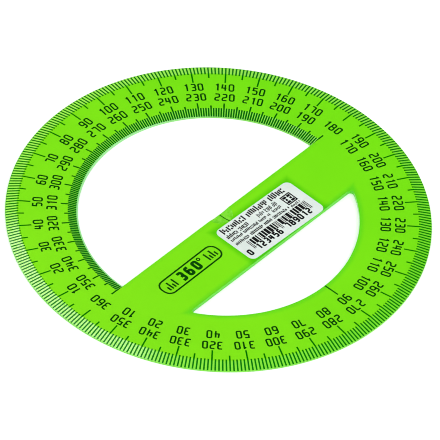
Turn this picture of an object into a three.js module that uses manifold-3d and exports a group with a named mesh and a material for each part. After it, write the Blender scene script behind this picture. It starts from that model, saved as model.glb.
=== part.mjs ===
// Full-circle protractor: one moulded plate and one paper label stuck on its cross bar.
// All lengths in millimetres. X runs along the bar from the 0 mark to the 180 mark,
// Y points at the 90 mark, Z is up. The plate's flat underside lies at z = 0.
import * as THREE from 'three';
import { mergeVertices } from 'three/addons/utils/BufferGeometryUtils.js';
import Module from 'manifold-3d';

const wasm = await Module();
wasm.setup();

// ---- plate ----
const PLATE_T = 1.2;          // thickness of the ring and the bar
const RIM_R = 60;             // outer radius, 120 mm across
const RIM_EDGE_T = 0.45;      // thickness left at the outer edge
const RIM_BEVEL_R = 56.6;     // where the outer bevel starts
const HOLE_R = 39.6;          // radius of both openings
const HOLE_EDGE_T = 0.45;     // thickness left at the bevelled edge of the upper opening
const HOLE_BEVEL_R = 42.5;    // where the inner bevel starts
const BAR_TOP_Y = -0.15;      // upper edge of the bar, on the zero line
const BAR_LOW_Y = -19.85;     // lower edge of the bar
const CORNER_R = 0.9;         // rounding in the corners of the lower opening
const DISH_R = 3.9;           // shallow half-round dish at the centre mark
const DISH_FLAT_R = 2.2;      // flat bottom of the dish
const DISH_T = 0.9;           // thickness left in the dish
const ROUND_SEGS = 240;

// ---- label ----
const LABEL_W = 30;
const LABEL_H = 15;
const LABEL_T = 0.1;
const LABEL_R = 1.8;
const LABEL_X = 8.2;
const LABEL_Y = -11.95;
const LABEL_TURN = THREE.MathUtils.degToRad(-1.45);

const PAST = 1;               // how far cutting bodies run past the faces they cut

function toManifold(geometry) {
  let g = geometry.clone();
  g.deleteAttribute('normal');
  g.deleteAttribute('uv');
  g = mergeVertices(g, 1e-5);
  return new wasm.Manifold(new wasm.Mesh({
    numProp: 3,
    vertProperties: new Float32Array(g.attributes.position.array),
    triVerts: new Uint32Array(g.index.array),
  }));
}

function toGeometry(solid) {
  const mesh = solid.getMesh();
  const g = new THREE.BufferGeometry();
  g.setAttribute('position', new THREE.BufferAttribute(new Float32Array(mesh.vertProperties), 3));
  g.setIndex(new THREE.BufferAttribute(new Uint32Array(mesh.triVerts), 1));
  return g;
}

// A body of revolution about Z from [radius, height] pairs that start and end on the axis.
function turned(profile, segments) {
  const g = new THREE.LatheGeometry(profile.map(([r, z]) => new THREE.Vector2(r, z)), segments);
  g.rotateX(Math.PI / 2);
  return g;
}

function block(x0, x1, y0, y1, z0, z1) {
  const g = new THREE.BoxGeometry(x1 - x0, y1 - y0, z1 - z0);
  g.translate((x0 + x1) / 2, (y0 + y1) / 2, (z0 + z1) / 2);
  return g;
}

// Height of the slope from (r0, z0) to (r1, z1), carried on to radius r.
function slopeAt(r, r0, z0, r1, z1) {
  return z0 + ((r - r0) * (z1 - z0)) / (r1 - r0);
}

function discBlank() {
  return turned([
    [0, 0],
    [RIM_R, 0],
    [RIM_R, RIM_EDGE_T],
    [RIM_BEVEL_R, PLATE_T],
    [0, PLATE_T],
  ], ROUND_SEGS);
}

// The half-round upper opening with its sloping ring edge.
function upperCutter() {
  const rPast = HOLE_BEVEL_R + 2;
  const zPast = slopeAt(rPast, HOLE_R, HOLE_EDGE_T, HOLE_BEVEL_R, PLATE_T);
  const round = toManifold(turned([
    [0, -PAST],
    [HOLE_R, -PAST],
    [HOLE_R, HOLE_EDGE_T],
    [rPast, zPast],
    [0, zPast],
  ], ROUND_SEGS));
  const half = toManifold(block(-RIM_R, RIM_R, BAR_TOP_Y, RIM_R, -2 * PAST, 2 * zPast));
  return round.intersect(half);
}

// The lower opening: a circle segment below the bar with two rounded corners.
function lowerCutter() {
  const cy = BAR_LOW_Y - CORNER_R;
  const cx = Math.sqrt((HOLE_R - CORNER_R) ** 2 - cy ** 2);
  const lean = Math.atan2(cy, cx);
  const s = new THREE.Shape();
  s.moveTo(-cx, BAR_LOW_Y);
  s.absarc(-cx, cy, CORNER_R, Math.PI / 2, Math.PI - lean, false);
  s.absarc(0, 0, HOLE_R, Math.PI - lean, 2 * Math.PI + lean, false);
  s.absarc(cx, cy, CORNER_R, lean, Math.PI / 2, false);
  s.closePath();
  const g = new THREE.ExtrudeGeometry(s, {
    depth: PLATE_T + 2 * PAST,
    bevelEnabled: false,
    curveSegments: 72,
  });
  g.translate(0, 0, -PAST);
  return toManifold(g);
}

// The shallow dish at the centre mark; the bar's upper edge leaves half of it.
function dishCutter() {
  const rPast = DISH_R + 2;
  const zPast = slopeAt(rPast, DISH_FLAT_R, DISH_T, DISH_R, PLATE_T);
  const g = turned([
    [0, DISH_T],
    [DISH_FLAT_R, DISH_T],
    [rPast, zPast],
    [0, zPast],
  ], 96);
  g.translate(0, BAR_TOP_Y, 0);
  return toManifold(g);
}

function plateGeometry() {
  const solid = toManifold(discBlank())
    .subtract(upperCutter())
    .subtract(lowerCutter())
    .subtract(dishCutter());
  return toGeometry(solid);
}

function roundedRect(w, h, r) {
  const s = new THREE.Shape();
  const x = w / 2 - r;
  const y = h / 2 - r;
  s.moveTo(x, -h / 2);
  s.absarc(x, -y, r, -Math.PI / 2, 0, false);
  s.absarc(x, y, r, 0, Math.PI / 2, false);
  s.absarc(-x, y, r, Math.PI / 2, Math.PI, false);
  s.absarc(-x, -y, r, Math.PI, 1.5 * Math.PI, false);
  s.closePath();
  return s;
}

function labelGeometry() {
  const g = new THREE.ExtrudeGeometry(roundedRect(LABEL_W, LABEL_H, LABEL_R), {
    depth: LABEL_T,
    bevelEnabled: false,
    curveSegments: 16,
  });
  g.rotateZ(LABEL_TURN);
  g.translate(LABEL_X, LABEL_Y, PLATE_T);
  return g;
}

function part(name, geometry, colour, roughness) {
  const material = new THREE.MeshStandardMaterial({ color: colour, roughness, metalness: 0 });
  const mesh = new THREE.Mesh(geometry, material);
  mesh.name = name;
  return mesh;
}

const protractor = new THREE.Group();
protractor.name = 'protractor';
protractor.add(part('protractor_plate', plateGeometry(), 0x7be814, 0.25));
protractor.add(part('barcode_label', labelGeometry(), 0xeff2ee, 0.75));

export default protractor;
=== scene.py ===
"""Looks of the full-circle protractor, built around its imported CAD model.

The plate is the CAD solid with its sharp edges rounded, the label is a thin sheet of the CAD
label's outline, and everything printed on them is a thin solid line of ink that follows the
surface below it. Lengths written as numbers are millimetres, and MM turns them into metres;
only the stage and the sizes of noise and bumps are in metres or per metre.
"""

import math
import random

import bmesh
import bpy
from mathutils import Matrix, Vector, noise


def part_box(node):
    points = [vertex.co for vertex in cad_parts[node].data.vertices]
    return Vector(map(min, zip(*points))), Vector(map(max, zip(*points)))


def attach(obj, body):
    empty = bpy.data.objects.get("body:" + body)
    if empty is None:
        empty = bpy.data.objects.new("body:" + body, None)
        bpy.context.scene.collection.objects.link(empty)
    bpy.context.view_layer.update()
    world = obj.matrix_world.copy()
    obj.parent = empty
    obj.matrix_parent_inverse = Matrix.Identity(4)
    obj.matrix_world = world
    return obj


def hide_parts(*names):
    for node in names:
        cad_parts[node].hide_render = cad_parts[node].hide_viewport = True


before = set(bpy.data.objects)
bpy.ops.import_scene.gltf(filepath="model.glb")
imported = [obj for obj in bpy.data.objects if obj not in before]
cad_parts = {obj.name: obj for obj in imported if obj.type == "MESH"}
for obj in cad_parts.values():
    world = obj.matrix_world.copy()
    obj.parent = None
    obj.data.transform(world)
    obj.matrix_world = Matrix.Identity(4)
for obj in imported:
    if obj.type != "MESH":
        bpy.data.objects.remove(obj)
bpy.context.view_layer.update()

MM = 0.001

# How lines are drawn: the turn per step of a round corner, and the label's finer one; and the
# cosine at which a mitred corner stops growing.
ARC_STEP = math.radians(18)
LABEL_ARC_STEP = math.radians(9)
MITRE_LIMIT = 0.35

# Driving dimensions of the plate, as the CAD model has them.
PLATE_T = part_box("protractor_plate")[1].z / MM
RIM_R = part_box("protractor_plate")[1].x / MM
EDGE_T = 0.45
EDGE_ROUND = 0.11
RIM_BEVEL_R = 56.6
HOLE_R = 39.6
HOLE_BEVEL_R = 42.5
BAR_TOP_Y = -0.15
BAR_LOW_Y = -19.85
DISH_R = 3.9
DISH_FLAT_R = 2.2
DISH_T = 0.9

# Label.
LABEL_W = 30.0
LABEL_H = 15.0
LABEL_R = 1.8
LABEL_X = 8.2
LABEL_Y = -11.95
LABEL_TURN = math.radians(-1.45)
PAPER_T = 0.082
PAPER_WAVE = 0.002
PAPER_WAVES_PER_MM = 0.16

# Print on the label, from its centre: each line of small print runs from x0 to x1 on baseline
# y, with that height and stroke.
LABEL_LINES = (
    (-13.5, 11.9, 4.85, 2.35, 0.50),
    (-13.9, -5.4, 2.8, 1.5, 0.36),
    (-1.4, 6.4, 2.7, 1.8, 0.28),
    (-13.9, 1.9, 1.3, 1.1, 0.33),
    (3.0, 6.4, 1.3, 1.1, 0.28),
    (-13.9, 7.5, -0.5, 1.2, 0.36),
    (8.3, 11.8, -0.9, 0.95, 0.26),
)

# The greeked words: how many stems and dot columns a word has, the share of stems, the heights
# that stems and dots take as shares of the line's, and the steps and gaps in stroke widths.
WORD_LENGTH = (6, 14)
STEM_SHARE = 0.78
STEM_TOPS = (0.70, 0.80, 0.90, 1.0)
STEM_FEET = (0.0, 0.0, 0.12)
DOT_LEVELS = (0.12, 0.40, 0.68)
DOT_SIZE = 1.15
STEM_STEPS = (1.35, 1.45, 1.65)
WORD_GAP = 1.6

# The bar pattern, its digits and the sign beside the text.
BAR_MODULE = 0.25
BAR_START = -11.0
BAR_MIDDLE = 0.4
BAR_END = 12.0
BAR_TOP = -1.15
BAR_LOW = -3.6
BAR_GUARD_Y = -4.7
BAR_MODULES = (1, 2, 2, 3, 4)
GAP_MODULES = (1, 1, 1, 2)
LABEL_DIGITS = (("0", -13.2), ("123456", -5.25), ("789012", 6.5))
LABEL_DIGIT_Y = -4.85
LABEL_DIGIT_SIZE = 0.74
LABEL_DIGIT_STROKE = 0.56
LABEL_DIGIT_PITCH = 1.70
SIGN_X = 10.1
SIGN_Y = 2.25
SIGN_SIZE = 3.4
SIGN_LINE = 0.4
SIGN_SQUARE = 0.78
SIGN_ROW_PITCH = 0.98
SIGN_ROWS = ((-1, 1.25), (0, 0.7), (1, 1.25))

# Printing on the plate. Ink reaches INK_UP above the surface and INK_DOWN below it. Marks end
# TICK_END before an edge; those at the upper opening end HOLE_TICK_END before it up to the first
# angle of HOLE_TICK_TURN, and come closer until the second.
INK_UP = 0.010
INK_DOWN = 0.008
INK_LIFT = 0.002
TICK_W = 0.47
TICK_END = 0.08
HOLE_TICK_END = 0.42
HOLE_TICK_TURN = (80, 140)
CENTRE_LINE_W = 0.32
CENTRE_LINE_END = 0.2
OUTER_TICKS = {1: 56.3, 5: 54.8, 10: 53.0}
INNER_TICKS = {1: HOLE_BEVEL_R, 5: 43.5, 10: 44.5}
OUTER_ROW_R = 51.05
INNER_ROW_R = 46.95
MIDDLE_ROW_R = 48.9
DIGIT_W = 1.20
DIGIT_H = 2.54
DIGIT_STROKE = 0.49
DIGIT_PITCH = 2.08
ONE_SPARE = 0.46
CORNER = 0.42

# The mark on the bar that says how far the dial reads: a frame, a number, a degree sign and
# short scale strokes, placed from the frame's centre.
MARK_X = -22.0
MARK_Y = -9.15
MARK_TURN = math.radians(0.6)
MARK_W = 22.9
MARK_H = 5.3
MARK_R = 2.2
MARK_LINE_W = 0.52
MARK_NUMBER_X = -0.55
MARK_NUMBER_SIZE = 1.12
MARK_NUMBER_STROKE = 0.92
MARK_NUMBER_PITCH = 3.05
DEGREE_X = 4.5
DEGREE_Y = 1.2
DEGREE_R = 0.46
DEGREE_LINE_W = 0.4
DEGREE_STEPS = 16
STROKE_FIRST_X = 6.75
STROKE_SHIFT_X = 0.15
STROKE_PITCH = 1
STROKE_COUNT = 4
STROKE_LOW = -1.5
STROKE_LONG = 1.5
STROKE_SHORT = 0.1
STROKE_W = 0.56

# Colours of the plastic, linear, most of them with painted light and shade: the open face at the 0
# and the 180 side, painted warmer towards the 0 side; the outer bevel, a painted sheen palest at
# the 70 mark and painted shade deepest opposite; the inner bevel's painted shade and the opening's
# thin edge with its painted highlight, which change between two values of x; the factors of painted
# shade near an opening and near the label; the rim's edge, the dish with its painted glare, and the
# upright walls in painted shade.
FLAT_LEFT = (0.245, 0.82, 0.012)
FLAT_RIGHT = (0.185, 0.79, 0.008)
OUTER_BEVEL_SHEEN = (0.39, 0.97, 0.095)
OUTER_BEVEL_SHADE = (0.17, 0.74, 0.022)
BEVEL_SHEEN_AT = math.radians(70)
INNER_BEVEL_SHADE_LEFT = (0.14, 0.625, 0.038)
INNER_BEVEL_SHADE_RIGHT = (0.215, 0.78, 0.048)
HOLE_EDGE_LIT_LEFT = (0.35, 0.85, 0.32)
HOLE_EDGE_RIGHT = (0.20, 0.68, 0.07)
INNER_BEVEL_TURN = (-28, 5)
HOLE_EDGE_TURN = (5, 38)
OPENING_SHADE_FACTORS = (0.62, 0.90, 1.3)
LABEL_SHADE_FACTORS = (0.47, 0.80, 0.4)
RIM_EDGE = (0.22, 0.76, 0.06)
DISH_DEEP = (0.145, 0.70, 0.015)
DISH_GLARE = (0.25, 0.80, 0.05)
WALL_SHADE = (0.10, 0.71, 0.0)

# How far the painted shade along an edge reaches into the face: at the bar's lower wall and the
# lower opening, at the bar's upper wall, and round the label; and how strong it gets there.
LOW_EDGE_REACH = 1.9
LOW_EDGE_SHARE = 1.0
TOP_EDGE_REACH = 1.3
TOP_EDGE_SHARE = 0.45
LABEL_SHADE_REACH = 2.3

# Tones of the clouding, as factors, and of inks, paper and floor, linear, from dark to light.
CLOUDING = ((0.93, 0.97, 0.9), (1.05, 1.02, 1.0))
NUMBER_INK = ((0.0, 0.034, 0.0), (0.001, 0.070, 0.0))
OUTER_INK = ((0.0, 0.130, 0.0), (0.003, 0.190, 0.0))
INNER_INK = ((0.0, 0.085, 0.0), (0.002, 0.135, 0.0))
LABEL_INK = ((0.004, 0.004, 0.005), (0.012, 0.012, 0.013))
PAPER_TONES = ((0.575, 0.65, 0.61), (0.655, 0.725, 0.685))
FLOOR_TONES = ((0.95, 0.95, 0.95), (0.96, 0.96, 0.96))

# Gloss: roughness from and to, and the inks' specular level. The outer marks' ink catches the
# light on the bevel as the plastic does.
PLASTIC_ROUGH = (0.10, 0.22)
PLASTIC_IOR = 1.49
PLASTIC_CLEARNESS = 0.18
MATT_ROUGH = (0.5, 0.7)
MATT_SHINE = 0.03
GLOSSY_ROUGH = (0.12, 0.25)
GLOSSY_SHINE = 0.16
PAPER_ROUGH = (0.48, 0.68)

# Studio: the glow of the surroundings, of the dark patch that the flat face mirrors, and of the
# curved strip that the outer bevel mirrors. Directions are azimuth and elevation in degrees. A
# fade goes from one angle off a direction, where the patch or strip begins, to another, where it
# is full. The strip is a part of a ring round STRIP_ROUND, the part near STRIP_MIDDLE.
WORLD_GLOW = 1.1
PATCH_GLOW = 0.02
PATCH_AT = (38.6, 45.0)
PATCH_FADE = (38, 18)
STRIP_GLOW = 8.0
STRIP_ROUND = (31.9, 48.6)
STRIP_OUTER_FADE = (24.8, 24.2)
STRIP_INNER_FADE = (21.4, 22.2)
STRIP_MIDDLE = (67.1, 56.6)
STRIP_END_FADE = (15.0, 11.5)

# Camera: its direction from the object, how far off it is in metres, and its roll in degrees.
CAMERA_FROM = (-141.38, 45.16)
CAMERA_LOOKS_AT = (-0.73, -1.15, 0.0)
CAMERA_DISTANCE = 1.684
CAMERA_ROLL = 4.69
CAMERA_LENS = 490.9


# ---------------------------------------------------------------- meshes

def surface_z(x, y):
    """Height of the plate's printed side, with its bevels and the centre dish."""
    drop = PLATE_T - EDGE_T
    r = math.hypot(x, y)
    if r > RIM_BEVEL_R:
        return PLATE_T - drop * (r - RIM_BEVEL_R) / (RIM_R - RIM_BEVEL_R)
    if y > BAR_TOP_Y and r < HOLE_BEVEL_R:
        return PLATE_T - drop * (HOLE_BEVEL_R - r) / (HOLE_BEVEL_R - HOLE_R)
    d = math.hypot(x, y - BAR_TOP_Y)
    if d < DISH_R:
        return PLATE_T - (PLATE_T - DISH_T) * min(1.0, (DISH_R - d) / (DISH_R - DISH_FLAT_R))
    return PLATE_T


class Solid:
    """Gathers closed pieces of one material into one mesh."""

    def __init__(self):
        self.verts = []
        self.faces = []

    def ribbon(self, path, width, height, closed=False, place=None, lift=0.0):
        """A flat line of ink along path; height(x, y) is the surface it lies on.

        Strokes that cross get a different lift, so that they never share a face.
        """
        left, right = sides(path, width / 2, closed)
        base = len(self.verts)
        for l, r in zip(left, right):
            for p in (l, r):
                x, y = place(p) if place else p
                z = height(x, y) + lift
                self.verts.append((x * MM, y * MM, (z - INK_DOWN) * MM))
                self.verts.append((x * MM, y * MM, (z + INK_UP) * MM))
        count = len(path)
        steps = count if closed else count - 1
        for i in range(steps):
            a = base + 4 * i
            b = base + 4 * ((i + 1) % count)
            self.faces.append((a + 1, a + 3, b + 3, b + 1))
            self.faces.append((a, b, b + 2, a + 2))
            self.faces.append((a, a + 1, b + 1, b))
            self.faces.append((a + 2, b + 2, b + 3, a + 3))
        if not closed:
            e = base + 4 * (count - 1)
            self.faces.append((base, base + 2, base + 3, base + 1))
            self.faces.append((e, e + 1, e + 3, e + 2))

    def make(self, name, material):
        mesh = bpy.data.meshes.new(name)
        mesh.from_pydata(self.verts, [], self.faces)
        mesh.update()
        piece(name, mesh, material)


def print_on(name, draw, material):
    """One printed piece, drawn by draw."""
    ink = Solid()
    draw(ink)
    ink.make(name, material)


def piece(name, mesh, material):
    obj = bpy.data.objects.new(name, mesh)
    bpy.context.scene.collection.objects.link(obj)
    mesh.materials.clear()
    mesh.materials.append(material)
    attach(obj, "root")
    return obj


def sides(path, half, closed):
    """The two edges of a line of that half width, mitred at its corners."""
    pts = [Vector(p) for p in path]
    n = len(pts)
    left, right = [], []
    for i, p in enumerate(pts):
        before = pts[i - 1] if closed or i > 0 else None
        after = pts[(i + 1) % n] if closed or i < n - 1 else None
        d1 = (p - before).normalized() if before is not None else (after - p).normalized()
        d2 = (after - p).normalized() if after is not None else d1
        n1, n2 = Vector((-d1.y, d1.x)), Vector((-d2.y, d2.x))
        m = (n1 + n2).normalized()
        reach = half / max(MITRE_LIMIT, m.dot(n1))
        left.append(tuple(p + m * reach))
        right.append(tuple(p - m * reach))
    return left, right


def rounded(corners, closed=False, step=ARC_STEP):
    """A path through corners of (x, y, radius), each turned on an arc of its radius."""
    pts = [Vector(c[:2]) for c in corners]
    n = len(pts)
    out = []
    for i, c in enumerate(corners):
        p, radius = pts[i], c[2] if len(c) > 2 else 0.0
        if radius == 0 or (not closed and i in (0, n - 1)):
            out.append(tuple(p))
            continue
        a = (pts[i - 1] - p).normalized()
        b = (pts[(i + 1) % n] - p).normalized()
        angle = a.angle(b)
        cut = radius / math.tan(angle / 2)
        mid = (a + b).normalized() * (radius / math.sin(angle / 2))
        centre = p + mid
        start, end = p + a * cut - centre, p + b * cut - centre
        sweep = math.atan2(start.x * end.y - start.y * end.x, start.dot(end))
        steps = max(2, math.ceil(abs(sweep) / step))
        for k in range(steps + 1):
            t = sweep * k / steps
            out.append((
                centre.x + start.x * math.cos(t) - start.y * math.sin(t),
                centre.y + start.x * math.sin(t) + start.y * math.cos(t),
            ))
    return out


def rounded_box(w, h, r, step=ARC_STEP):
    """Outline of a rectangle of half width w and half height h with corner radius r."""
    return rounded([(-w, -h, r), (w, -h, r), (w, h, r), (-w, h, r)], True, step)


# ---------------------------------------------------------------- numerals

def glyphs():
    """Centre lines of the dial's digits, in a box DIGIT_W wide and DIGIT_H high."""
    w, h, r = DIGIT_W, DIGIT_H, CORNER
    m = 0.50 * h
    return {
        "0": [([(0, 0, r), (w, 0, r), (w, h, r), (0, h, r)], True)],
        "1": [([(0.30 * w, 0.80 * h), (0.66 * w, 0.95 * h)], False),
              ([(0.72 * w, h + 0.2), (0.72 * w, -0.1)], False)],
        "2": [([(0.02 * w, h), (w, h, r), (w, m + 0.10, r), (0, m - 0.30, r), (0, 0, 0.30),
                (w, 0)], False)],
        "3": [([(0.02 * w, h), (w, h, r), (w, m, 0.34), (0.30 * w, m)], False),
              ([(0.30 * w, m), (w, m, 0.34), (w, 0, r), (0, 0)], False)],
        "4": [([(0.12 * w, h), (0, 0.40 * h), (1.06 * w, 0.40 * h)], False),
              ([(0.78 * w, 0.96 * h), (0.78 * w, 0)], False)],
        "5": [([(0.96 * w, h), (0.05 * w, h), (0.05 * w, 0.58 * h), (w, 0.58 * h, r), (w, 0, r),
                (0, 0)], False)],
        "6": [([(0.90 * w, h), (0, h, 0.50), (0, 0, r), (w, 0, r), (w, 0.56 * h, r),
                (0.06 * w, 0.56 * h)], False)],
        "7": [([(0.04 * w, h), (w, h, 0.30), (0.92 * w, 0)], False)],
        "8": [([(0, 0, r), (w, 0, r), (w, 0.53 * h, 0.34), (0, 0.53 * h, 0.34)], True),
              ([(0.05 * w, 0.53 * h, 0.34), (0.95 * w, 0.53 * h, 0.34), (0.95 * w, h, 0.36),
                (0.05 * w, h, 0.36)], True)],
        "9": [([(0.94 * w, 0.44 * h), (0, 0.44 * h, r), (0, h, r), (w, h, r), (w, 0, 0.50),
                (0.10 * w, 0)], False)],
    }


DIGITS = glyphs()


def write_number(ink, text, place, height, size=1.0, stroke=DIGIT_STROKE, pitch=DIGIT_PITCH):
    """Digits side by side, centred on the origin of place."""
    shift = -ONE_SPARE * size / 2 if text[0] == "1" else 0.0
    for i, ch in enumerate(text):
        x0 = (i - (len(text) - 1) / 2) * pitch - DIGIT_W * size / 2 + shift
        y0 = -DIGIT_H * size / 2
        for k, (corners, closed) in enumerate(DIGITS[ch]):
            path = [(x0 + x * size, y0 + y * size) for x, y in rounded(corners, closed)]
            ink.ribbon(path, stroke, height, closed, place, k * INK_LIFT)


def on_dial(angle, radius):
    """Places a flat figure at that mark and radius with its top pointing outwards."""
    a = math.radians(angle)
    up = Vector((-math.cos(a), math.sin(a)))
    along = Vector((up.y, -up.x))

    def place(p):
        q = up * (radius + p[1]) + along * p[0]
        return q.x, q.y

    return place


def flat_top(x, y):
    return PLATE_T


# ---------------------------------------------------------------- printing on the plate

def tick_kind(angle):
    return 10 if angle % 10 == 0 else 5 if angle % 5 == 0 else 1


def outer_ticks(ink):
    for angle in range(360):
        tick(ink, angle, [RIM_R - TICK_END, RIM_BEVEL_R, OUTER_TICKS[tick_kind(angle)]])


def inner_ticks(ink):
    """Marks of the upper opening; they come closer to its edge towards the 180 side."""
    first, last = HOLE_TICK_TURN
    for angle in range(181):
        kind = tick_kind(angle)
        turned = min(1.0, max(0.0, (angle - first) / (last - first)))
        bare = HOLE_TICK_END + (TICK_END - HOLE_TICK_END) * turned
        stops = [HOLE_R + bare, HOLE_BEVEL_R, INNER_TICKS[kind]]
        tick(ink, angle, stops[:2] if kind == 1 else stops)
    tick(ink, 270, [HOLE_R + TICK_END, INNER_TICKS[10]])


def tick(ink, angle, radii):
    ink.ribbon([(0, r) for r in radii], TICK_W, surface_z, place=on_dial(angle, 0))


def centre_mark(ink):
    ys = [CENTRE_LINE_END, DISH_FLAT_R, DISH_R, DISH_R + CENTRE_LINE_END]
    ink.ribbon([(0, BAR_TOP_Y - y) for y in ys], CENTRE_LINE_W, surface_z)


def scale_numbers(ink):
    for angle in range(10, 360, 10):
        if angle == 180:
            continue
        write_number(ink, str(angle), on_dial(angle, OUTER_ROW_R), flat_top)
        write_number(ink, str(360 - angle), on_dial(angle, INNER_ROW_R), flat_top)
    write_number(ink, "360", on_dial(0, MIDDLE_ROW_R), flat_top)
    write_number(ink, "180", on_dial(180, MIDDLE_ROW_R), flat_top)


def range_mark(ink):
    """A plain frame on the bar that says how far the dial reads."""

    def place(p):
        c, s = math.cos(MARK_TURN), math.sin(MARK_TURN)
        return MARK_X + p[0] * c - p[1] * s, MARK_Y + p[0] * s + p[1] * c

    def place_number(p):
        return place((p[0] + MARK_NUMBER_X, p[1]))

    ink.ribbon(rounded_box(MARK_W / 2, MARK_H / 2, MARK_R), MARK_LINE_W, flat_top, True, place)
    write_number(ink, "360", place_number, flat_top, MARK_NUMBER_SIZE, MARK_NUMBER_STROKE,
                 MARK_NUMBER_PITCH)
    turns = [2 * math.pi * k / DEGREE_STEPS for k in range(DEGREE_STEPS)]
    degree = [(DEGREE_X + DEGREE_R * math.cos(t), DEGREE_Y + DEGREE_R * math.sin(t)) for t in turns]
    ink.ribbon(degree, DEGREE_LINE_W, flat_top, True, place)
    for side in (-1, 1):
        for k in range(STROKE_COUNT):
            x = side * (STROKE_FIRST_X + k * STROKE_PITCH) + STROKE_SHIFT_X
            top = STROKE_LONG if k % 2 == 0 else STROKE_SHORT
            ink.ribbon([(x, STROKE_LOW), (x, top)], STROKE_W, flat_top, place=place)


# ---------------------------------------------------------------- label

def on_label(p):
    c, s = math.cos(LABEL_TURN), math.sin(LABEL_TURN)
    return LABEL_X + p[0] * c - p[1] * s, LABEL_Y + p[0] * s + p[1] * c


def label_z(x, y):
    """Height of the paper, which follows the bar with the faint waves of a hand-stuck label."""
    wave = noise.noise(Vector((x * PAPER_WAVES_PER_MM, y * PAPER_WAVES_PER_MM, 3.0)))
    return PLATE_T + PAPER_T + PAPER_WAVE * wave


def label_outline(inset):
    return rounded_box(LABEL_W / 2 - inset, LABEL_H / 2 - inset, LABEL_R - inset, LABEL_ARC_STEP)


def label_sheet(material):
    """The paper: rings of the outline that step inwards, over a flat back.

    Each ring has its inset from the outline and its share of the paper's height.
    """
    rings = [(0.0, 0.0), (0.0, 0.75), (0.015, 1.0), (0.4, 1.0), (1.0, 1.0), (1.6, 1.0)]
    verts, faces = [], []
    count = len(label_outline(0))
    for inset, share in rings:
        for p in label_outline(inset):
            x, y = on_label(p)
            z = PLATE_T + (label_z(x, y) - PLATE_T) * share
            verts.append((x * MM, y * MM, z * MM))
    for k in range(len(rings) - 1):
        for i in range(count):
            j = (i + 1) % count
            a, b = k * count, (k + 1) * count
            faces.append((a + i, a + j, b + j, b + i))
    faces.append(tuple(range(count - 1, -1, -1)))
    faces.append(tuple(range((len(rings) - 1) * count, len(rings) * count)))
    mesh = bpy.data.meshes.new("label_sheet")
    mesh.from_pydata(verts, [], faces)
    mesh.update()
    obj = piece("label_sheet", mesh, material)
    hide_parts("barcode_label")


def label_line(ink, x0, x1, y0, letter_h, stroke, seed):
    """A line of small print, greeked as short stems and columns of dots: no letters at all."""
    rng = random.Random(seed)
    dot = stroke * DOT_SIZE
    x = x0 + stroke / 2
    while x < x1:
        for _ in range(rng.randint(*WORD_LENGTH)):
            if rng.random() < STEM_SHARE:
                top = y0 + letter_h * rng.choice(STEM_TOPS)
                foot = y0 + letter_h * rng.choice(STEM_FEET)
                ink.ribbon([(x, foot), (x, top)], stroke, label_z, place=on_label)
            else:
                for level in rng.sample(DOT_LEVELS, 2):
                    middle = y0 + letter_h * level
                    ink.ribbon([(x - dot / 2, middle), (x + dot / 2, middle)], dot, label_z,
                               place=on_label)
            x += stroke * rng.choice(STEM_STEPS)
            if x > x1:
                break
        x += stroke * WORD_GAP


def label_bars(ink):
    """A bar pattern that encodes nothing, with the longer guard bars of a shop label."""
    rng = random.Random(12)
    module = BAR_MODULE
    for left in (BAR_START, BAR_MIDDLE, BAR_END):
        for x in (left, left + 2 * module):
            ink.ribbon([(x, BAR_GUARD_Y), (x, BAR_TOP)], module, label_z, place=on_label)
    for left, right in ((BAR_START, BAR_MIDDLE), (BAR_MIDDLE, BAR_END)):
        x = left + 4 * module
        last = right - module
        while x < last:
            wide = min(rng.choice(BAR_MODULES) * module, last - x)
            ink.ribbon([(x + wide / 2, BAR_LOW), (x + wide / 2, BAR_TOP)], wide, label_z,
                       place=on_label)
            x += wide + rng.choice(GAP_MODULES) * module


def label_sign(ink):
    """A small framed block of squares beside the text."""
    half = SIGN_SIZE / 2
    signs = ((-1, -1), (1, -1), (1, 1), (-1, 1))
    frame_path = [(SIGN_X + a * half, SIGN_Y + b * half) for a, b in signs]
    ink.ribbon(frame_path, SIGN_LINE, label_z, True, on_label)
    for column in (-1, 1):
        for row, wide in SIGN_ROWS:
            x, y = SIGN_X + column * SIGN_SQUARE, SIGN_Y + row * SIGN_ROW_PITCH
            ink.ribbon([(x - wide / 2, y), (x + wide / 2, y)], SIGN_SQUARE, label_z, place=on_label)


def label_print(ink):
    for seed, line in enumerate(LABEL_LINES):
        label_line(ink, *line, seed)
    label_bars(ink)
    label_sign(ink)
    for text, x in LABEL_DIGITS:
        write_number(ink, text, lambda p, x=x: on_label((x + p[0], LABEL_DIGIT_Y + p[1])), label_z,
                     LABEL_DIGIT_SIZE, LABEL_DIGIT_STROKE, LABEL_DIGIT_PITCH)


# ---------------------------------------------------------------- plate

def plate_body(material):
    """The moulding, from the CAD solid, with its sharp edges rounded as a mould leaves them."""
    same_plane = math.radians(0.15)
    smooth_below = math.radians(5)
    bm = bmesh.new()
    bm.from_mesh(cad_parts["protractor_plate"].data)
    bmesh.ops.remove_doubles(bm, verts=bm.verts, dist=1e-7)
    bmesh.ops.dissolve_limit(bm, angle_limit=same_plane, verts=bm.verts, edges=bm.edges)
    for face in bm.faces:
        face.smooth = True
    for edge in bm.edges:
        edge.smooth = edge.calc_face_angle(0.0) < smooth_below
    mesh = bpy.data.meshes.new("plate_body")
    bm.to_mesh(mesh)
    bm.free()
    obj = piece("plate_body", mesh, material)
    round_edges = obj.modifiers.new("round_edges", "BEVEL")
    round_edges.width = EDGE_ROUND * MM
    round_edges.segments = 3
    round_edges.limit_method = "ANGLE"
    round_edges.angle_limit = math.radians(35)
    round_edges.harden_normals = True
    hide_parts("protractor_plate")


# ---------------------------------------------------------------- materials

def new_material(name):
    mat = bpy.data.materials.new(name)
    mat.use_nodes = True
    tree = mat.node_tree
    return mat, tree, tree.nodes["Principled BSDF"]


def node(tree, kind, **settings):
    n = tree.nodes.new(kind)
    for key, value in settings.items():
        if key in n.inputs:
            n.inputs[key].default_value = value
        else:
            setattr(n, key, value)
    return n


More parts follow.
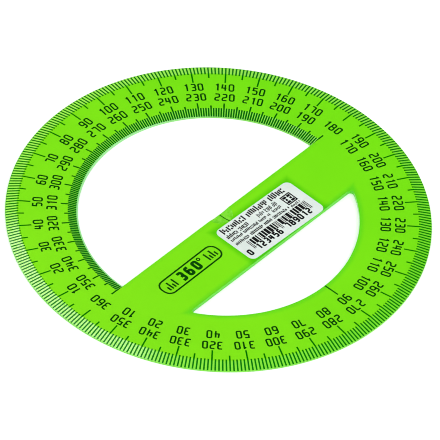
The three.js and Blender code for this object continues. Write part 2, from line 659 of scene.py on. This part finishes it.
def math_node(tree, operation, *values):
    n = tree.nodes.new("ShaderNodeMath")
    n.operation = operation
    for i, v in enumerate(values):
        if isinstance(v, (int, float)):
            n.inputs[i].default_value = v
        else:
            tree.links.new(v, n.inputs[i])
    return n.outputs[0]


def ramp(tree, fac, stops):
    """Colour from a 0 to 1 socket by two stops, each a position and a colour."""
    n = tree.nodes.new("ShaderNodeValToRGB")
    for e, (pos, colour) in zip(n.color_ramp.elements, stops):
        e.position = pos
        e.color = (*colour, 1.0)
    tree.links.new(fac, n.inputs[0])
    return n.outputs[0]


def map_range(tree, value, from_min, from_max, to_min=0.0, to_max=1.0, smooth=True):
    n = tree.nodes.new("ShaderNodeMapRange")
    n.interpolation_type = "SMOOTHSTEP" if smooth else "LINEAR"
    n.inputs["From Min"].default_value = from_min
    n.inputs["From Max"].default_value = from_max
    n.inputs["To Min"].default_value = to_min
    n.inputs["To Max"].default_value = to_max
    tree.links.new(value, n.inputs["Value"])
    return n.outputs["Result"]


def blend(tree, factor, a, b, mode="MIX"):
    """Mixes two colours, each a tuple or a socket, by a number or a socket."""
    n = tree.nodes.new("ShaderNodeMix")
    n.data_type = "RGBA"
    n.blend_type = mode
    for socket, value in ((n.inputs["Factor"], factor), (n.inputs["A"], a), (n.inputs["B"], b)):
        if isinstance(value, tuple):
            socket.default_value = (*value, 1.0)
        elif isinstance(value, (int, float)):
            socket.default_value = value
        else:
            tree.links.new(value, socket)
    return n.outputs["Result"]


def radius_from(tree, x, y, centre_y=0.0):
    """Distance in metres from (0, centre_y) in the plane of the plate."""
    dy = math_node(tree, "SUBTRACT", y, centre_y)
    squares = math_node(tree, "MULTIPLY_ADD", x, x, math_node(tree, "MULTIPLY", dy, dy))
    return math_node(tree, "SQRT", squares)


def from_label(tree, x, y):
    """Distance in metres outside the label's rectangle."""
    c, s = math.cos(LABEL_TURN), math.sin(LABEL_TURN)
    dx = math_node(tree, "SUBTRACT", x, LABEL_X * MM)
    dy = math_node(tree, "SUBTRACT", y, LABEL_Y * MM)
    along = math_node(tree, "MULTIPLY_ADD", dx, c, math_node(tree, "MULTIPLY", dy, s))
    across = math_node(tree, "MULTIPLY_ADD", dy, c, math_node(tree, "MULTIPLY", dx, -s))
    beyond = [math_node(tree, "SUBTRACT", math_node(tree, "ABSOLUTE", value), half * MM)
              for value, half in ((along, LABEL_W / 2), (across, LABEL_H / 2))]
    return math_node(tree, "MAXIMUM", *beyond)


class Spot:
    """Where a point of the plate is, as shader sockets in metres: x, y, z and the radius."""

    def __init__(self, tree, coords):
        split = tree.nodes.new("ShaderNodeSeparateXYZ")
        tree.links.new(coords, split.inputs[0])
        self.coords = coords
        self.x, self.y, self.z = split.outputs
        self.r = radius_from(tree, self.x, self.y)


def clouding(tree, spot):
    cloud = node(tree, "ShaderNodeTexNoise", Scale=28.0, Detail=3.0)
    tree.links.new(spot.coords, cloud.inputs["Vector"])
    return ramp(tree, cloud.outputs["Fac"], zip((0.3, 0.7), CLOUDING))


# Painted light: the open face is painted warmer towards the 0 side and cooler towards the 180 side,
# as the light falls on it.
def flat_tint(tree, spot, cloud):
    across = map_range(tree, spot.x, -RIM_R * MM, RIM_R * MM, smooth=False)
    return blend(tree, 1.0, blend(tree, across, FLAT_LEFT, FLAT_RIGHT), cloud, "MULTIPLY")


def bevel_tint(tree, spot, cloud):
    """Painted sheen and shade on the bevels: the outer bevel's colour turns with the dial, a
    painted sheen on one side and painted shade opposite, and the inner bevel's painted shade goes
    from left to right.
    """
    along = math_node(tree, "MULTIPLY_ADD", spot.x, math.cos(BEVEL_SHEEN_AT),
                      math_node(tree, "MULTIPLY", spot.y, -math.sin(BEVEL_SHEEN_AT)))
    turned = map_range(tree, along, -RIM_R * MM, RIM_R * MM, smooth=False)
    outer = blend(tree, turned, OUTER_BEVEL_SHEEN, OUTER_BEVEL_SHADE)
    across = map_range(tree, spot.x, *(x * MM for x in INNER_BEVEL_TURN))
    inner = blend(tree, across, INNER_BEVEL_SHADE_LEFT, INNER_BEVEL_SHADE_RIGHT)
    outside = math_node(tree, "GREATER_THAN", spot.r, (RIM_R + HOLE_R) / 2 * MM)
    return blend(tree, 1.0, blend(tree, outside, inner, outer), cloud, "MULTIPLY")


def shade_openings(tree, spot, colour):
    """Painted shade along the edges of both openings, where the light has to cross the wall."""
    past_arc = math_node(tree, "SUBTRACT", spot.r, HOLE_R * MM)
    above_low = math_node(tree, "SUBTRACT", spot.y, BAR_LOW_Y * MM)
    below_top = math_node(tree, "SUBTRACT", BAR_TOP_Y * MM, spot.y)
    for beside_bar, reach, share in ((above_low, LOW_EDGE_REACH, LOW_EDGE_SHARE),
                                     (below_top, TOP_EDGE_REACH, TOP_EDGE_SHARE)):
        off = math_node(tree, "MAXIMUM", beside_bar, past_arc)
        near = math_node(tree, "MULTIPLY", map_range(tree, off, reach * MM, 0.0), share)
        colour = blend(tree, near, colour, blend(tree, 1.0, colour, OPENING_SHADE_FACTORS, "MULTIPLY"))
    return colour


def shade_label(tree, spot, colour):
    """Painted shade round the label, which keeps the light from the plastic under it."""
    near = map_range(tree, from_label(tree, spot.x, spot.y), LABEL_SHADE_REACH * MM, -0.2 * MM)
    return blend(tree, near, colour, blend(tree, 1.0, colour, LABEL_SHADE_FACTORS, "MULTIPLY"))


# Painted glare: the dish is mottled at random, its pale patches standing in for the light its
# curved face catches.
def tint_dish(tree, spot, colour):
    from_middle = radius_from(tree, spot.x, spot.y, BAR_TOP_Y * MM)
    inside = map_range(tree, from_middle, (DISH_R + 0.02) * MM, (DISH_R - 0.12) * MM)
    patchy = node(tree, "ShaderNodeTexNoise", Scale=900.0, Detail=2.0)
    tree.links.new(spot.coords, patchy.inputs["Vector"])
    in_dish = ramp(tree, patchy.outputs["Fac"], zip((0.35, 0.65), (DISH_DEEP, DISH_GLARE)))
    return blend(tree, inside, colour, in_dish)


def tint_thin_edges(tree, spot, colour):
    """The plate's thin edges: the upper opening's, with a painted highlight that pales it to the
    left, and the rim's.
    """
    at_hole = map_range(tree, spot.r, (HOLE_R + 0.65) * MM, (HOLE_R + 0.25) * MM)
    at_hole = math_node(tree, "MULTIPLY", at_hole, math_node(tree, "GREATER_THAN", spot.y, 0.0))
    across = map_range(tree, spot.x, *(x * MM for x in HOLE_EDGE_TURN))
    colour = blend(tree, at_hole, colour, blend(tree, across, HOLE_EDGE_LIT_LEFT, HOLE_EDGE_RIGHT))
    at_rim = map_range(tree, spot.r, (RIM_R - 0.35) * MM, (RIM_R - 0.05) * MM)
    return blend(tree, at_rim, colour, RIM_EDGE)


def tint(tree, coords):
    """Colour of the plastic on its flat face, bevels, dish, edges, walls and underside, with light
    and shade painted into it.
    """
    spot = Spot(tree, coords)
    cloud = clouding(tree, spot)
    flat = flat_tint(tree, spot, cloud)
    on_bevel = map_range(tree, spot.z, (PLATE_T - 0.01) * MM, (PLATE_T - 0.09) * MM)
    colour = blend(tree, on_bevel, flat, bevel_tint(tree, spot, cloud))
    colour = shade_openings(tree, spot, colour)
    colour = shade_label(tree, spot, colour)
    colour = tint_dish(tree, spot, colour)

    # Painted shade: the upright walls are painted a deeper green than the faces.
    facing = tree.nodes.new("ShaderNodeSeparateXYZ")
    geometry = tree.nodes.new("ShaderNodeNewGeometry")
    tree.links.new(geometry.outputs["True Normal"], facing.inputs[0])
    wall = map_range(tree, math_node(tree, "ABSOLUTE", facing.outputs["Z"]), 0.75, 0.35)
    colour = blend(tree, wall, colour, WALL_SHADE)
    colour = tint_thin_edges(tree, spot, colour)

    below = map_range(tree, facing.outputs["Z"], -0.5, -0.8)
    return blend(tree, below, colour, flat)


def plastic():
    """Neon lime plastic, tinted in the mass, with the faint waves and hairlines of a moulding."""
    mat, tree, shader = new_material("lime_plastic")
    link = tree.links.new
    coords = tree.nodes.new("ShaderNodeTexCoord").outputs["Object"]
    link(tint(tree, coords), shader.inputs["Base Color"])
    scuff = hairline_scuffs(tree, coords)
    link(map_range(tree, scuff, 0.0, 1.0, *PLASTIC_ROUGH), shader.inputs["Roughness"])
    link(moulded_waves(tree, coords, scuff), shader.inputs["Normal"])
    shader.inputs["IOR"].default_value = PLASTIC_IOR
    shader.inputs["Transmission Weight"].default_value = PLASTIC_CLEARNESS
    return mat


def hairline_scuffs(tree, coords):
    """0 to 1: fine scratches in two directions."""
    link = tree.links.new
    hairlines = []
    for turn, scale in ((0.7, 900.0), (-0.35, 1300.0)):
        stretch = tree.nodes.new("ShaderNodeMapping")
        stretch.inputs["Scale"].default_value = (1.0, 0.05, 1.0)
        stretch.inputs["Rotation"].default_value = (0, 0, turn)
        link(coords, stretch.inputs["Vector"])
        lines = node(tree, "ShaderNodeTexNoise", Scale=scale, Detail=4.0)
        link(stretch.outputs[0], lines.inputs["Vector"])
        hairlines.append(map_range(tree, lines.outputs["Fac"], 0.60, 0.78))
    return math_node(tree, "MAXIMUM", *hairlines)


def moulded_waves(tree, coords, scuff):
    """Normal of the surface: long faint waves, and the scratches cut into them."""
    link = tree.links.new
    flow = node(tree, "ShaderNodeTexNoise", Scale=60.0, Detail=2.0)
    link(coords, flow.inputs["Vector"])
    waves = node(tree, "ShaderNodeBump", Strength=0.04, Distance=0.0004)
    link(flow.outputs["Fac"], waves.inputs["Height"])
    fine = node(tree, "ShaderNodeBump", Strength=0.10, Distance=0.00001)
    fine.invert = True
    link(scuff, fine.inputs["Height"])
    link(waves.outputs[0], fine.inputs["Normal"])
    return fine.outputs[0]


def printed_ink(name, tones, rough=MATT_ROUGH, shine=MATT_SHINE):
    """Opaque ink that is a little thinner in places; matt unless told otherwise."""
    mat, tree, shader = new_material(name)
    link = tree.links.new
    coords = tree.nodes.new("ShaderNodeTexCoord")
    speck = node(tree, "ShaderNodeTexNoise", Scale=3500.0, Detail=3.0)
    link(coords.outputs["Object"], speck.inputs["Vector"])
    link(ramp(tree, speck.outputs["Fac"], zip((0.35, 0.75), tones)), shader.inputs["Base Color"])
    link(map_range(tree, speck.outputs["Fac"], 0.2, 0.8, *rough), shader.inputs["Roughness"])
    shader.inputs["Specular IOR Level"].default_value = shine
    return mat


def paper():
    """Label paper with fine fibre and a faint mottle."""
    mat, tree, shader = new_material("label_paper")
    link = tree.links.new
    coords = tree.nodes.new("ShaderNodeTexCoord")
    fibre = node(tree, "ShaderNodeTexNoise", Scale=2200.0, Detail=5.0, Roughness=0.65)
    link(coords.outputs["Object"], fibre.inputs["Vector"])
    mottle = node(tree, "ShaderNodeTexNoise", Scale=160.0, Detail=2.0)
    link(coords.outputs["Object"], mottle.inputs["Vector"])
    both = math_node(tree, "MULTIPLY_ADD", fibre.outputs["Fac"], 0.4,
                     math_node(tree, "MULTIPLY", mottle.outputs["Fac"], 0.6))
    link(ramp(tree, both, zip((0.3, 0.7), PAPER_TONES)), shader.inputs["Base Color"])
    rough = map_range(tree, fibre.outputs["Fac"], 0.0, 1.0, *PAPER_ROUGH, smooth=False)
    link(rough, shader.inputs["Roughness"])
    bump = node(tree, "ShaderNodeBump", Strength=0.25, Distance=0.00002)
    link(fibre.outputs["Fac"], bump.inputs["Height"])
    link(bump.outputs[0], shader.inputs["Normal"])
    return mat


def floor_material():
    mat, tree, shader = new_material("pale_floor")
    coords = tree.nodes.new("ShaderNodeTexCoord")
    grain = node(tree, "ShaderNodeTexNoise", Scale=3.0, Detail=2.0)
    tree.links.new(coords.outputs["Object"], grain.inputs["Vector"])
    pale = ramp(tree, grain.outputs["Fac"], zip((0.3, 0.7), FLOOR_TONES))
    tree.links.new(pale, shader.inputs["Base Color"])
    shader.inputs["Roughness"].default_value = 0.9
    shader.inputs["Specular IOR Level"].default_value = 0.1
    return mat


# ---------------------------------------------------------------- stage

def floor():
    """A sheet of 60 m a side, just under the plate, so that its edge is never seen."""
    mesh = bpy.data.meshes.new("floor")
    s = 30.0
    z = -0.02 * MM
    mesh.from_pydata([(-s, -s, z), (s, -s, z), (s, s, z), (-s, s, z)], [], [(0, 1, 2, 3)])
    obj = bpy.data.objects.new("floor", mesh)
    bpy.context.scene.collection.objects.link(obj)
    mesh.materials.append(floor_material())


def direction(azimuth, elevation):
    """Unit vector; azimuth is counted from +X towards +Y."""
    a, e = math.radians(azimuth), math.radians(elevation)
    return Vector((math.cos(e) * math.cos(a), math.cos(e) * math.sin(a), math.sin(e)))


def soft_box(name, azimuth, elevation, size, radiance, distance):
    """A square area light of that radiance that faces the object; metres."""
    data = bpy.data.lights.new(name, "AREA")
    data.shape = "RECTANGLE"
    data.size = size
    data.size_y = size
    data.energy = radiance * math.pi * size * size
    obj = bpy.data.objects.new(name, data)
    bpy.context.scene.collection.objects.link(obj)
    away = direction(azimuth, elevation)
    obj.location = away * distance
    obj.rotation_mode = "QUATERNION"
    obj.rotation_quaternion = away.to_track_quat("Z", "Y")
    obj.visible_camera = False


def nearness(tree, direction_in, middle, from_angle, to_angle):
    """0 to 1 as a direction goes from one angle off middle, in degrees, to another."""
    off = tree.nodes.new("ShaderNodeVectorMath")
    off.operation = "DOT_PRODUCT"
    off.inputs[1].default_value = middle
    tree.links.new(direction_in, off.inputs[0])
    edges = [math.cos(math.radians(angle)) for angle in (from_angle, to_angle)]
    return map_range(tree, off.outputs["Value"], *edges)


def studio_world():
    """White surroundings with a dark patch, so that the flat face shows its own colour.

    A bright curved strip beyond the patch is what the outer bevel mirrors near the 0 mark.
    """
    world = bpy.data.worlds.new("studio")
    bpy.context.scene.world = world
    world.use_nodes = True
    tree = world.node_tree
    back = tree.nodes["Background"]
    back.inputs["Color"].default_value = (1.0, 1.0, 1.0, 1.0)
    seen = tree.nodes.new("ShaderNodeTexCoord").outputs["Generated"]
    patch = nearness(tree, seen, direction(*PATCH_AT), *PATCH_FADE)
    glow = math_node(tree, "MULTIPLY_ADD", patch, PATCH_GLOW - WORLD_GLOW, WORLD_GLOW)
    within = nearness(tree, seen, direction(*STRIP_ROUND), *STRIP_OUTER_FADE)
    beyond = nearness(tree, seen, direction(*STRIP_ROUND), *STRIP_INNER_FADE)
    ring = math_node(tree, "MULTIPLY", within, beyond)
    strip = math_node(tree, "MULTIPLY", ring,
                      nearness(tree, seen, direction(*STRIP_MIDDLE), *STRIP_END_FADE))
    glow = math_node(tree, "MULTIPLY_ADD", strip, STRIP_GLOW, glow)
    tree.links.new(glow, back.inputs["Strength"])


def lights():
    studio_world()
    soft_box("key", azimuth=-150, elevation=58, size=1.1, radiance=2.0, distance=1.7)
    soft_box("fill", azimuth=-60, elevation=50, size=1.0, radiance=1.0, distance=1.7)


def camera():
    """A long lens, 45 degrees above the desk, over the 0 and 270 side of the dial."""
    data = bpy.data.cameras.new("camera")
    data.sensor_width = 36.0
    data.lens = CAMERA_LENS
    data.clip_end = 100.0
    obj = bpy.data.objects.new("camera", data)
    bpy.context.scene.collection.objects.link(obj)
    roll = math.radians(CAMERA_ROLL)
    back = direction(*CAMERA_FROM)
    right = Vector((0, 0, 1)).cross(back).normalized()
    up = back.cross(right)
    x = right * math.cos(roll) + up * math.sin(roll)
    y = up * math.cos(roll) - right * math.sin(roll)
    m = Matrix((x, y, back)).transposed().to_4x4()
    m.translation = Vector(CAMERA_LOOKS_AT) * MM + back * CAMERA_DISTANCE
    obj.matrix_world = m
    bpy.context.scene.camera = obj


# ---------------------------------------------------------------- build

bpy.context.scene.view_settings.view_transform = "Standard"
bpy.context.scene.cycles.filter_width = 1.0
camera()
lights()
floor()

plate_body(plastic())
number_ink = printed_ink("number_ink", NUMBER_INK)
outer_ink = printed_ink("outer_ink", OUTER_INK, GLOSSY_ROUGH, GLOSSY_SHINE)
inner_ink = printed_ink("inner_ink", INNER_INK)
print_on("printed_outer_ticks", outer_ticks, outer_ink)
print_on("printed_inner_ticks", inner_ticks, inner_ink)
print_on("printed_numbers", scale_numbers, number_ink)
print_on("printed_centre_mark", centre_mark, inner_ink)
print_on("printed_range_mark", range_mark, number_ink)

label_sheet(paper())
print_on("label_print", label_print, printed_ink("label_ink", LABEL_INK))
